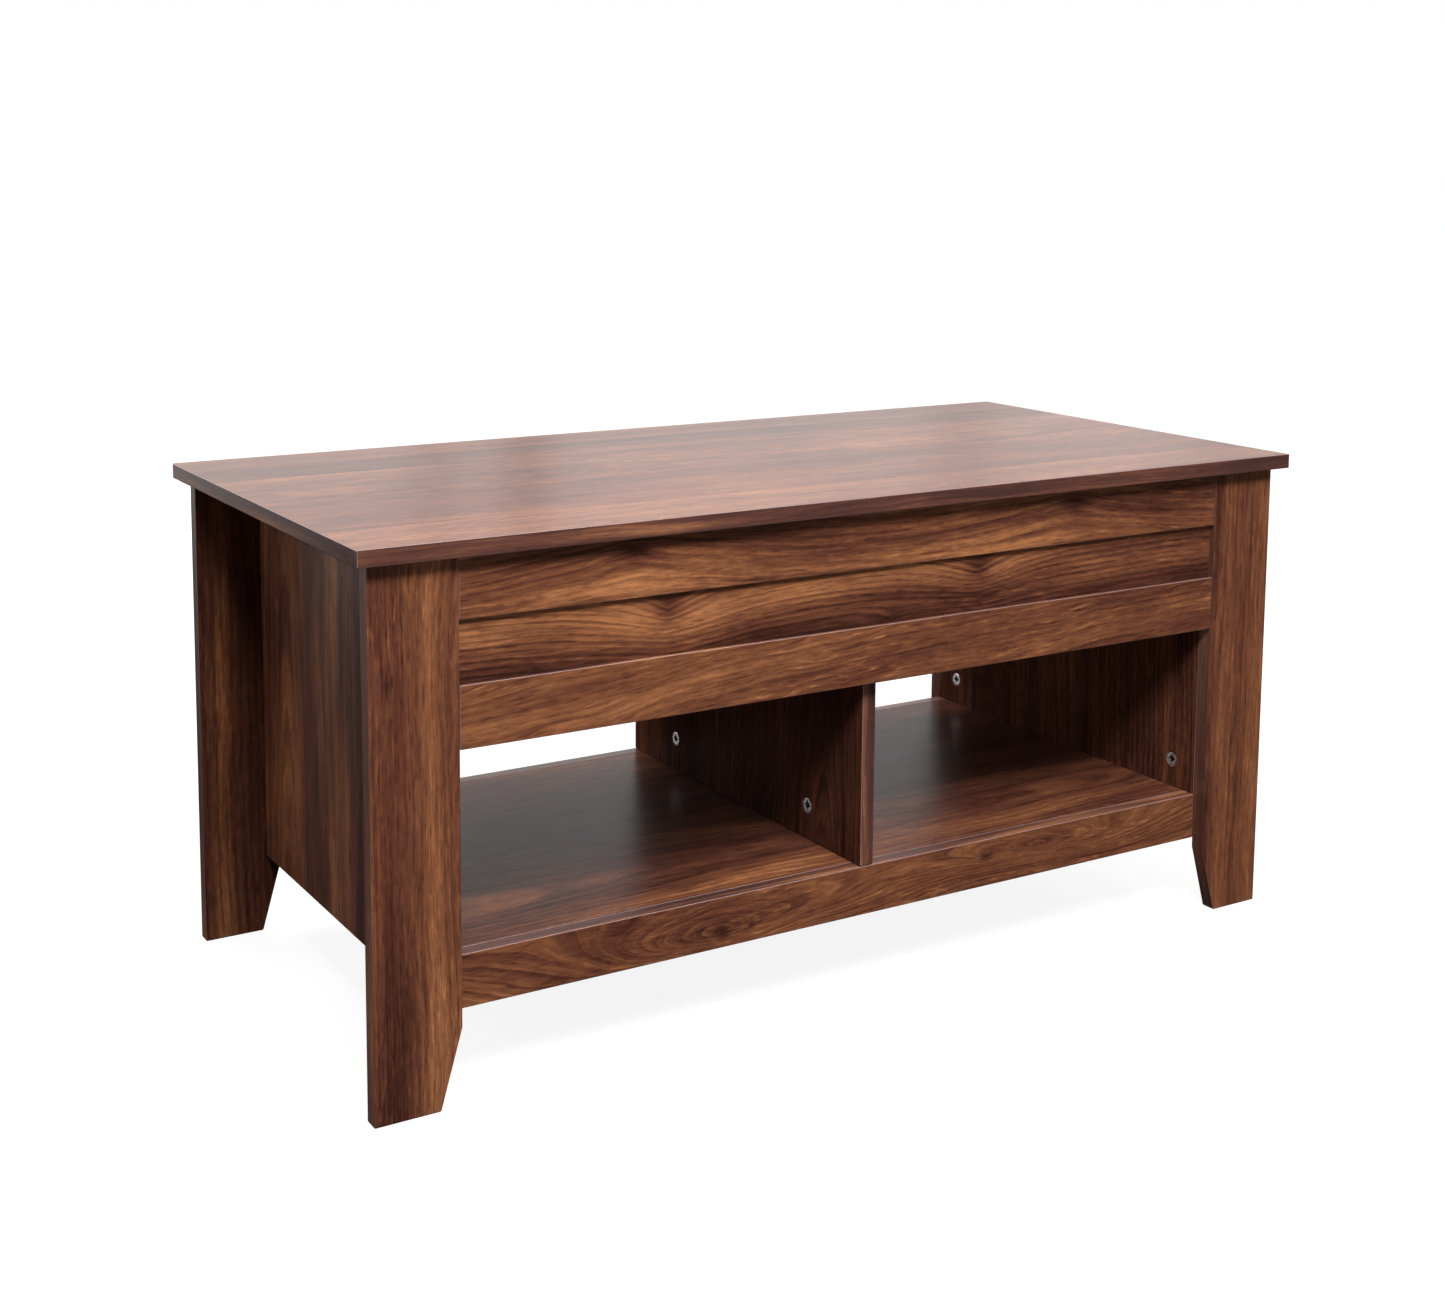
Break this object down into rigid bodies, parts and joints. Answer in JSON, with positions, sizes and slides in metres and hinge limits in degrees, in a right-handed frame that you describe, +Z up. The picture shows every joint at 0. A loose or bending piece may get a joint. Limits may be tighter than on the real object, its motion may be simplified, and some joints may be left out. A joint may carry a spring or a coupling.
{
  "type": "lift top coffee table",
  "caption": "Rectangular walnut-finish coffee table with tapered plank legs, open shelf bays and a top that lifts up and forward on parallel-arm hinges over a storage compartment.",
  "frame": {"origin": "on the floor under the middle of the tabletop outline", "axes": "+X right along the length, +Y to the rear, +Z up; the front of the table faces -Y"},
  "size_m": [1.04, 0.5, 0.49],
  "materials": {
    "walnut_laminate": "satin",
    "black_steel": "satin",
    "zinc_steel": "satin",
    "spring_steel": "gloss",
    "cam_alloy": "satin",
    "rubber": "matte"
  },
  "bodies": {
    "carcass": {"left_side_panel": "walnut_laminate", "right_side_panel": "walnut_laminate", "front_left_leg": "walnut_laminate", "front_right_leg": "walnut_laminate", "rear_left_leg": "walnut_laminate", "rear_right_leg": "walnut_laminate", "upper_front_rail": "walnut_laminate", "front_infill_panel": "walnut_laminate", "lower_front_rail": "walnut_laminate", "rear_panel": "walnut_laminate", "storage_floor": "walnut_laminate", "bay_divider": "walnut_laminate", "lower_shelf": "walnut_laminate", "front_bottom_rail": "walnut_laminate", "rear_bottom_rail": "walnut_laminate", "divider_cam_front": "cam_alloy", "divider_cam_rear": "cam_alloy", "left_side_cam_front_lower": "cam_alloy", "left_side_cam_front_upper": "cam_alloy", "left_side_cam_rear_lower": "cam_alloy", "left_side_cam_rear_upper": "cam_alloy", "right_side_cam_front_lower": "cam_alloy", "right_side_cam_front_upper": "cam_alloy", "right_side_cam_rear_lower": "cam_alloy", "right_side_cam_rear_upper": "cam_alloy", "front_left_bumper": "rubber", "front_right_bumper": "rubber", "rear_left_bumper": "rubber", "rear_right_bumper": "rubber", "left_base_bracket": "black_steel", "left_front_lower_rivet": "zinc_steel", "left_rear_lower_rivet": "zinc_steel", "left_spring_anchor": "zinc_steel", "left_lift_spring": "spring_steel", "left_base_screw_front": "zinc_steel", "left_base_screw_rear": "zinc_steel", "right_base_bracket": "black_steel", "right_front_lower_rivet": "zinc_steel", "right_rear_lower_rivet": "zinc_steel", "right_spring_anchor": "zinc_steel", "right_lift_spring": "spring_steel", "right_base_screw_front": "zinc_steel", "right_base_screw_rear": "zinc_steel"},
    "left_front_arm": {"left_front_arm": "black_steel"},
    "left_rear_arm": {"left_rear_arm": "black_steel", "left_spring_crank_pin": "zinc_steel"},
    "right_front_arm": {"right_front_arm": "black_steel"},
    "right_rear_arm": {"right_rear_arm": "black_steel", "right_spring_crank_pin": "zinc_steel"},
    "lid": {"tabletop": "walnut_laminate", "left_lid_bracket": "black_steel", "left_front_upper_rivet": "zinc_steel", "left_rear_upper_rivet": "zinc_steel", "left_lid_screw_front": "zinc_steel", "left_lid_screw_rear": "zinc_steel", "right_lid_bracket": "black_steel", "right_front_upper_rivet": "zinc_steel", "right_rear_upper_rivet": "zinc_steel", "right_lid_screw_front": "zinc_steel", "right_lid_screw_rear": "zinc_steel"}
  },
  "joints": [
    {"name": "lid_lift", "type": "hinge", "parent": "carcass", "child": "left_front_arm", "pos_m": [-0.421, -0.16, 0.44], "axis": [1, 0, 0], "range_deg": [0, 135]},
    {"name": "left_rear_swing", "type": "hinge", "parent": "carcass", "child": "left_rear_arm", "pos_m": [-0.421, -0.07843, 0.40196], "axis": [1, 0, 0], "range_deg": [0, 135], "deforming": ["left_lift_spring"]},
    {"name": "right_front_swing", "type": "hinge", "parent": "carcass", "child": "right_front_arm", "pos_m": [0.421, -0.16, 0.44], "axis": [1, 0, 0], "range_deg": [0, 135]},
    {"name": "right_rear_swing", "type": "hinge", "parent": "carcass", "child": "right_rear_arm", "pos_m": [0.421, -0.07843, 0.40196], "axis": [1, 0, 0], "range_deg": [0, 135], "deforming": ["right_lift_spring"]},
    {"name": "lid_level", "type": "hinge", "parent": "left_front_arm", "child": "lid", "pos_m": [-0.421, 0.04, 0.44], "axis": [1, 0, 0], "range_deg": [-135, 0]}
  ],
  "couplings": [
    {"joint": "left_rear_swing", "follows": "lid_lift", "ratio": 1},
    {"joint": "right_front_swing", "follows": "lid_lift", "ratio": 1},
    {"joint": "right_rear_swing", "follows": "lid_lift", "ratio": 1},
    {"joint": "lid_level", "follows": "lid_lift", "ratio": -1}
  ]
}
